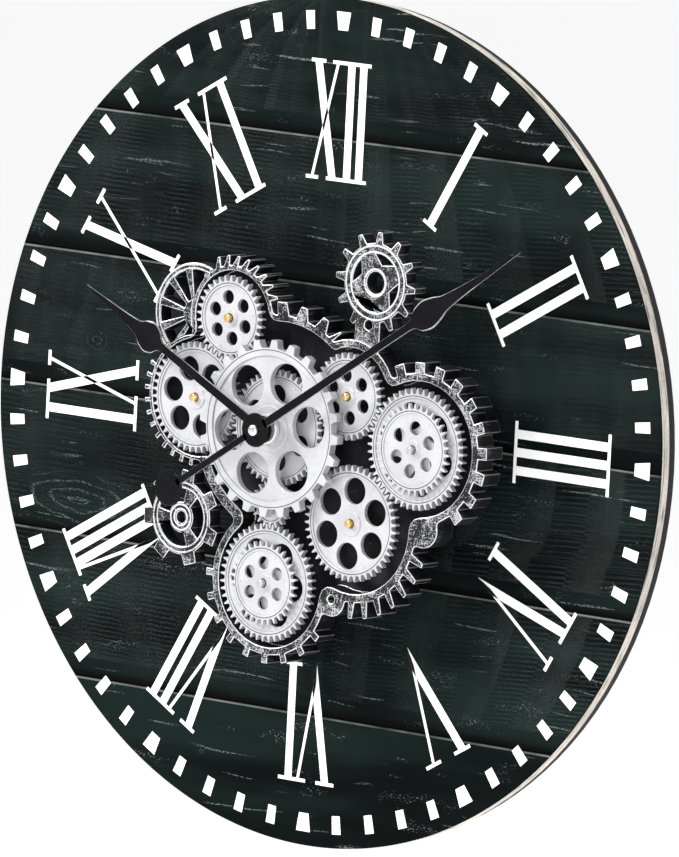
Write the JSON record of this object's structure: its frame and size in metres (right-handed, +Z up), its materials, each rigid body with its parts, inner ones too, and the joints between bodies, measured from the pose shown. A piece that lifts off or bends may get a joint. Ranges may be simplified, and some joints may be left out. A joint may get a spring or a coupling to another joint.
{
  "type": "open gear wall clock",
  "caption": "Round wall clock with a dark plank dial, Roman hours, black spade hands and an open black tray of turning white gears on posts in front of the dial.",
  "frame": {"origin": "on the axis of the hands, in the wall plane, at the flat back of the rear cover", "axes": "+Z up, +X to the right seen from the front, -Y out of the dial towards the viewer, +Y into the wall"},
  "size_m": [0.6, 0.0962, 0.6],
  "materials": {
    "painted_wood": "dark printed planks",
    "charcoal_board": "matt charcoal",
    "black_plastic": "black, brushed with silver on its faces",
    "gloss_black": "gloss black",
    "grey_plastic": "grey",
    "satin_white": "satin pearl white",
    "steel": "plain",
    "nickel": "nickel plate",
    "brass": "polished",
    "cell_sleeve": "printed sleeve"
  },
  "bodies": {
    "clock": {"dial_board": "painted_wood", "back_board": "charcoal_board", "hanger_plate": "steel", "hanger_screw_left": "steel", "hanger_screw_right": "steel", "movement_housing": "black_plastic", "rear_cover": "black_plastic", "cover_screw_a": "steel", "cover_screw_b": "steel", "cover_screw_c": "steel", "cover_screw_d": "steel", "switch_body": "black_plastic", "quartz_movement": "black_plastic", "clock_cell": "cell_sleeve", "battery_holder": "black_plastic", "motor_cell_upper": "cell_sleeve", "motor_cell_lower": "cell_sleeve", "gear_motor": "steel", "gear_tray": "black_plastic", "post_left": "black_plastic", "post_top_left": "black_plastic", "post_right": "black_plastic", "post_bottom": "black_plastic", "star_wheel": "black_plastic", "star_screw": "steel", "cog_wheel": "black_plastic", "cog_screw": "steel", "spoke_wheel": "black_plastic", "left_stud": "brass", "top_left_stud": "brass", "upper_right_stud": "brass", "right_stud": "steel", "lower_right_stud": "brass", "idler_stud": "steel", "bottom_stud": "steel", "center_tube": "steel", "tube_nut": "nickel"},
    "center_gears": {"center_fine_gear": "satin_white", "center_coarse_gear": "satin_white", "gear_sleeve": "satin_white"},
    "left_gear": {"left_gear": "satin_white"},
    "top_left_gear": {"top_left_gear": "satin_white"},
    "upper_right_gear": {"upper_right_gear": "satin_white"},
    "right_gears": {"right_lower_gear": "satin_white", "right_upper_gear": "satin_white"},
    "lower_right_gear": {"lower_right_gear": "satin_white"},
    "idler_gear": {"idler_gear": "satin_white"},
    "bottom_gears": {"bottom_lower_gear": "satin_white", "bottom_upper_gear": "satin_white"},
    "motor_drive": {"motor_pinion": "black_plastic", "pinion_shaft": "steel"},
    "minute": {"minute_shaft": "steel", "minute_hand": "gloss_black", "hand_nut": "nickel"},
    "hour": {"hour_tube": "steel", "hour_hand": "gloss_black"},
    "set_knob": {"set_knob": "grey_plastic"},
    "battery_door": {"battery_door": "grey_plastic"},
    "switch_slider": {"switch_slider": "grey_plastic"}
  },
  "joints": [
    {"name": "center_gear_spin", "type": "hinge", "parent": "clock", "child": "center_gears", "pos_m": [0, -0.0683, 0], "axis": [0, 1, 0], "continuous": true},
    {"name": "left_gear_spin", "type": "hinge", "parent": "clock", "child": "left_gear", "pos_m": [-0.07541, -0.0683, 0.01289], "axis": [0, 1, 0], "continuous": true},
    {"name": "top_left_gear_spin", "type": "hinge", "parent": "clock", "child": "top_left_gear", "pos_m": [-0.04764, -0.0683, 0.07216], "axis": [0, 1, 0], "continuous": true},
    {"name": "upper_right_gear_spin", "type": "hinge", "parent": "clock", "child": "upper_right_gear", "pos_m": [0.06148, -0.0683, 0.02906], "axis": [0, 1, 0], "continuous": true},
    {"name": "right_gears_spin", "type": "hinge", "parent": "clock", "child": "right_gears", "pos_m": [0.12454, -0.0683, -0.00062], "axis": [0, 1, 0], "continuous": true},
    {"name": "lower_right_gear_spin", "type": "hinge", "parent": "clock", "child": "lower_right_gear", "pos_m": [0.07005, -0.0683, -0.05905], "axis": [0, 1, 0], "continuous": true},
    {"name": "idler_gear_spin", "type": "hinge", "parent": "clock", "child": "idler_gear", "pos_m": [-0.00237, -0.0683, -0.05435], "axis": [0, 1, 0], "continuous": true},
    {"name": "bottom_gears_spin", "type": "hinge", "parent": "clock", "child": "bottom_gears", "pos_m": [-0.00276, -0.0683, -0.1096], "axis": [0, 1, 0], "continuous": true},
    {"name": "motor_drive_spin", "type": "hinge", "parent": "clock", "child": "motor_drive", "pos_m": [-0.01234, -0.0683, 0.04773], "axis": [0, 1, 0], "continuous": true},
    {"name": "minute_hand_turn", "type": "hinge", "parent": "clock", "child": "minute", "pos_m": [0, -0.0914, 0], "axis": [0, 1, 0], "continuous": true},
    {"name": "hour_hand_turn", "type": "hinge", "parent": "clock", "child": "hour", "pos_m": [0, -0.0856, 0], "axis": [0, 1, 0], "continuous": true},
    {"name": "set_knob_turn", "type": "hinge", "parent": "clock", "child": "set_knob", "pos_m": [0.015, -0.0008, 0.009], "axis": [0, 1, 0], "continuous": true},
    {"name": "battery_door_hinge", "type": "hinge", "parent": "clock", "child": "battery_door", "pos_m": [0, -0.0004, -0.066], "axis": [-1, 0, 0], "range_deg": [0, 100]},
    {"name": "switch_slide", "type": "slide", "parent": "clock", "child": "switch_slider", "axis": [0, 0, 1], "range_m": [0, 0.007]}
  ],
  "couplings": [
    {"joint": "left_gear_spin", "follows": "center_gear_spin", "ratio": -1.0455},
    {"joint": "top_left_gear_spin", "follows": "center_gear_spin", "ratio": 1.3939},
    {"joint": "upper_right_gear_spin", "follows": "center_gear_spin", "ratio": -1.3529},
    {"joint": "right_gears_spin", "follows": "center_gear_spin", "ratio": 0.95833},
    {"joint": "lower_right_gear_spin", "follows": "center_gear_spin", "ratio": -1},
    {"joint": "idler_gear_spin", "follows": "center_gear_spin", "ratio": -2.5556},
    {"joint": "bottom_gears_spin", "follows": "center_gear_spin", "ratio": 0.97872},
    {"joint": "motor_drive_spin", "follows": "center_gear_spin", "ratio": -3.8333},
    {"joint": "hour_hand_turn", "follows": "minute_hand_turn", "ratio": 0.083333},
    {"joint": "set_knob_turn", "follows": "minute_hand_turn", "ratio": -3}
  ]
}
